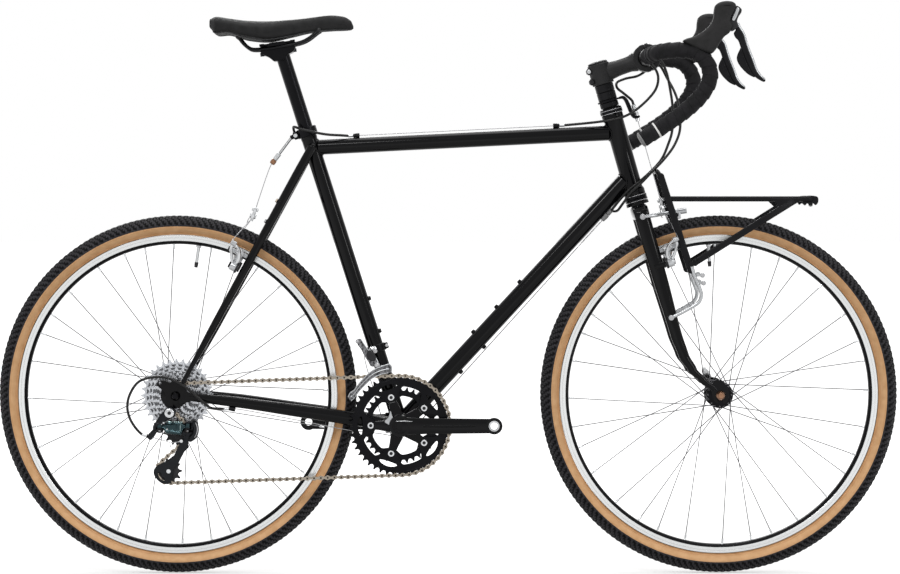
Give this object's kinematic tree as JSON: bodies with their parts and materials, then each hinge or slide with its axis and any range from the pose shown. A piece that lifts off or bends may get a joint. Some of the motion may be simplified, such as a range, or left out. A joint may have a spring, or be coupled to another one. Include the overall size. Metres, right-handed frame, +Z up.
{
  "type": "touring bicycle",
  "caption": "Steel-framed touring bicycle with drop bars, combined brake and shift levers, cantilever brakes, derailleur gears and a small front rack.",
  "frame": {"origin": "on the floor, midway between the two wheel axles, on the centre plane", "axes": "+X forward to the front wheel, +Y to the rider's left, +Z up; the chain is on the -Y side"},
  "size_m": [1.687, 0.473, 1.061],
  "materials": {
    "frame_paint": "gloss",
    "satin_black": "satin",
    "silver_alloy": "satin",
    "black_alloy": "satin",
    "steel": "satin",
    "chain_steel": "satin",
    "tape": "matte",
    "hood_rubber": "matte",
    "tyre_rubber": "matte",
    "saddle_cover": "matte",
    "black_plastic": "matte",
    "cable_housing": "satin"
  },
  "bodies": {
    "frame": {"head_tube": "frame_paint", "top_tube": "frame_paint", "down_tube": "frame_paint", "seat_tube": "frame_paint", "chainstays": "frame_paint", "seatstays": "frame_paint", "bottom_bracket": "black_alloy", "seat_collar": "satin_black", "headset_lower_cup": "satin_black", "headset_upper_cup": "satin_black", "rear_brake_cable": "cable_housing", "front_shift_cable": "cable_housing", "rear_shift_cable": "cable_housing", "chain": "chain_steel", "rear_axle": "steel", "front_derailleur_clamp": "silver_alloy"},
    "steering": {"fork": "frame_paint", "headset_spacers": "satin_black", "stem": "satin_black", "handlebar": "black_alloy", "right_bar_tape": "tape", "left_bar_tape": "tape", "right_lever_bracket": "hood_rubber", "left_lever_bracket": "hood_rubber", "front_rack": "satin_black", "front_axle": "steel", "front_brake_cable": "cable_housing"},
    "front_wheel": {"front_tyre": "tyre_rubber", "front_rim": "black_alloy", "front_hub": "black_alloy"},
    "rear_wheel": {"rear_tyre": "tyre_rubber", "rear_rim": "black_alloy", "rear_hub": "black_alloy"},
    "cranks": {"right_crank": "black_alloy", "left_crank": "black_alloy", "outer_chainring": "black_alloy", "inner_chainring": "black_alloy"},
    "sprockets": {"cassette": "steel"},
    "guide_wheel": {"guide_pulley": "black_plastic"},
    "tension_wheel": {"tension_pulley": "black_plastic"},
    "rear_derailleur_mount": {"rear_derailleur_bracket": "black_alloy"},
    "rear_derailleur_arm": {"rear_derailleur_link": "black_alloy"},
    "rear_derailleur_head": {"rear_derailleur_knuckle": "black_alloy"},
    "rear_derailleur_frame": {"rear_derailleur_cage": "black_alloy"},
    "front_derailleur": {"front_derailleur_cage": "silver_alloy"},
    "right_lever_block": {"right_lever_pivot": "silver_alloy"},
    "left_lever_block": {"left_lever_pivot": "silver_alloy"},
    "right_lever": {"right_brake_lever": "silver_alloy"},
    "left_lever": {"left_brake_lever": "silver_alloy"},
    "right_paddle": {"right_shift_paddle": "silver_alloy"},
    "left_paddle": {"left_shift_paddle": "silver_alloy"},
    "front_right_arm": {"front_right_brake_arm": "silver_alloy"},
    "front_left_arm": {"front_left_brake_arm": "silver_alloy"},
    "rear_right_arm": {"rear_right_brake_arm": "silver_alloy"},
    "rear_left_arm": {"rear_left_brake_arm": "silver_alloy"},
    "front_quick_release": {"front_quick_release_lever": "steel"},
    "rear_quick_release": {"rear_quick_release_lever": "steel"},
    "seatpost": {"seatpost": "black_alloy"},
    "saddle": {"saddle": "saddle_cover", "saddle_rails": "steel"}
  },
  "joints": [
    {"name": "steering_turn", "type": "hinge", "parent": "frame", "child": "steering", "pos_m": [0.329, 0, 0.7842], "axis": [-0.2748, 0, 0.9615], "range_deg": [-60, 60], "deforming": ["rear_shift_cable", "front_shift_cable", "rear_brake_cable"]},
    {"name": "front_wheel_spin", "type": "hinge", "parent": "steering", "child": "front_wheel", "pos_m": [0.5075, 0, 0.336], "axis": [0, 1, 0], "continuous": true},
    {"name": "rear_wheel_spin", "type": "hinge", "parent": "frame", "child": "rear_wheel", "pos_m": [-0.5075, 0, 0.336], "axis": [0, 1, 0], "continuous": true},
    {"name": "crank_spin", "type": "hinge", "parent": "frame", "child": "cranks", "pos_m": [-0.09, 0, 0.2795], "axis": [0, 1, 0], "continuous": true},
    {"name": "sprocket_spin", "type": "hinge", "parent": "frame", "child": "sprockets", "pos_m": [-0.5075, -0.04, 0.336], "axis": [0, 1, 0], "continuous": true},
    {"name": "rear_derailleur_swing", "type": "hinge", "parent": "frame", "child": "rear_derailleur_mount", "pos_m": [-0.518, -0.08, 0.305], "axis": [0, 1, 0], "range_deg": [0, 15], "stiffness_Nm_per_rad": 1.5, "springref_deg": -17.19, "deforming": ["chain", "rear_shift_cable"]},
    {"name": "rear_derailleur_shift", "type": "hinge", "parent": "rear_derailleur_mount", "child": "rear_derailleur_arm", "pos_m": [-0.536, -0.08429, 0.278], "axis": [0, 0.6115, 0.7912], "range_deg": [0, 57], "stiffness_Nm_per_rad": 0.8, "springref_deg": -22.92, "deforming": ["chain", "rear_shift_cable"]},
    {"name": "rear_derailleur_head_turn", "type": "hinge", "parent": "rear_derailleur_arm", "child": "rear_derailleur_head", "pos_m": [-0.484, -0.08429, 0.278], "axis": [0, 0.6115, 0.7912], "range_deg": [-57, 0], "deforming": ["chain", "rear_shift_cable"]},
    {"name": "rear_derailleur_cage_swing", "type": "hinge", "parent": "rear_derailleur_head", "child": "rear_derailleur_frame", "pos_m": [-0.4805, -0.065, 0.2725], "axis": [0, 1, 0], "range_deg": [-45, 10], "stiffness_Nm_per_rad": 1, "deforming": ["chain"]},
    {"name": "guide_pulley_spin", "type": "hinge", "parent": "rear_derailleur_frame", "child": "guide_wheel", "pos_m": [-0.506, -0.062, 0.268], "axis": [0, 1, 0], "continuous": true},
    {"name": "tension_pulley_spin", "type": "hinge", "parent": "rear_derailleur_frame", "child": "tension_wheel", "pos_m": [-0.521, -0.062, 0.1955], "axis": [0, 1, 0], "continuous": true},
    {"name": "front_derailleur_shift", "type": "slide", "parent": "frame", "child": "front_derailleur", "axis": [0, 1, 0], "range_m": [0, 0.006], "stiffness_N_per_m": 1500, "deforming": ["chain", "front_shift_cable"]},
    {"name": "right_brake_pull", "type": "hinge", "parent": "steering", "child": "right_lever_block", "pos_m": [0.511, -0.22, 1.012], "axis": [0, 1, 0], "range_deg": [0, 25], "stiffness_Nm_per_rad": 2, "springref_deg": -17.19, "deforming": ["rear_brake_cable"]},
    {"name": "right_brake_lever_shift", "type": "hinge", "parent": "right_lever_block", "child": "right_lever", "pos_m": [0.52, -0.22, 1.0064], "axis": [1, 0, 0], "range_deg": [0, 15], "stiffness_Nm_per_rad": 1, "springref_deg": -17.19},
    {"name": "right_paddle_shift", "type": "hinge", "parent": "right_lever", "child": "right_paddle", "pos_m": [0.53, -0.22, 0.9735], "axis": [1, 0, 0], "range_deg": [0, 15], "stiffness_Nm_per_rad": 0.3, "springref_deg": -17.19},
    {"name": "left_brake_pull", "type": "hinge", "parent": "steering", "child": "left_lever_block", "pos_m": [0.511, 0.22, 1.012], "axis": [0, 1, 0], "range_deg": [0, 25], "stiffness_Nm_per_rad": 2, "springref_deg": -17.19, "deforming": ["front_brake_cable"]},
    {"name": "left_brake_lever_shift", "type": "hinge", "parent": "left_lever_block", "child": "left_lever", "pos_m": [0.52, 0.22, 1.0064], "axis": [1, 0, 0], "range_deg": [-15, 0], "stiffness_Nm_per_rad": 1, "springref_deg": 17.19},
    {"name": "left_paddle_shift", "type": "hinge", "parent": "left_lever", "child": "left_paddle", "pos_m": [0.53, 0.22, 0.9735], "axis": [1, 0, 0], "range_deg": [-15, 0], "stiffness_Nm_per_rad": 0.3, "springref_deg": 17.19},
    {"name": "front_right_brake_close", "type": "hinge", "parent": "steering", "child": "front_right_arm", "pos_m": [0.3883, -0.04202, 0.5765], "axis": [0.9615, 0, 0.2748], "range_deg": [-6, 0], "stiffness_Nm_per_rad": 0.8, "springref_deg": 17.19, "deforming": ["front_brake_cable"]},
    {"name": "rear_right_brake_close", "type": "hinge", "parent": "frame", "child": "rear_right_arm", "pos_m": [-0.3821, -0.0467, 0.5664], "axis": [-0.8783, 0, 0.478], "range_deg": [0, 6], "stiffness_Nm_per_rad": 0.8, "springref_deg": -17.19, "deforming": ["rear_brake_cable"]},
    {"name": "front_left_brake_close", "type": "hinge", "parent": "steering", "child": "front_left_arm", "pos_m": [0.3883, 0.04202, 0.5765], "axis": [0.9615, 0, 0.2748], "range_deg": [0, 6], "stiffness_Nm_per_rad": 0.8, "springref_deg": -17.19, "deforming": ["front_brake_cable"]},
    {"name": "rear_left_brake_close", "type": "hinge", "parent": "frame", "child": "rear_left_arm", "pos_m": [-0.3821, 0.0467, 0.5664], "axis": [-0.8783, 0, 0.478], "range_deg": [-6, 0], "stiffness_Nm_per_rad": 0.8, "springref_deg": 17.19, "deforming": ["rear_brake_cable"]},
    {"name": "front_quick_release_turn", "type": "hinge", "parent": "steering", "child": "front_quick_release", "pos_m": [0.5075, 0.0747, 0.336], "axis": [-0.8924, 0, -0.4512], "range_deg": [0, 170]},
    {"name": "rear_quick_release_turn", "type": "hinge", "parent": "frame", "child": "rear_quick_release", "pos_m": [-0.5075, 0.0922, 0.336], "axis": [-0.8, 0, -0.6], "range_deg": [0, 170]},
    {"name": "seatpost_height", "type": "slide", "parent": "frame", "child": "seatpost", "axis": [-0.304, 0, 0.9527], "range_m": [-0.1, 0.06]},
    {"name": "saddle_setback", "type": "slide", "parent": "seatpost", "child": "saddle", "axis": [0.9901, 0, 0.1405], "range_m": [-0.02, 0.02]}
  ],
  "couplings": [
    {"joint": "sprocket_spin", "follows": "crank_spin", "ratio": 4.1818},
    {"joint": "guide_pulley_spin", "follows": "crank_spin", "ratio": -4.1818},
    {"joint": "tension_pulley_spin", "follows": "crank_spin", "ratio": 4.1818},
    {"joint": "rear_derailleur_head_turn", "follows": "rear_derailleur_shift", "ratio": -1},
    {"joint": "front_right_brake_close", "follows": "left_brake_pull", "ratio": -0.2},
    {"joint": "front_left_brake_close", "follows": "left_brake_pull", "ratio": 0.2},
    {"joint": "rear_right_brake_close", "follows": "right_brake_pull", "ratio": 0.2},
    {"joint": "rear_left_brake_close", "follows": "right_brake_pull", "ratio": -0.2}
  ]
}
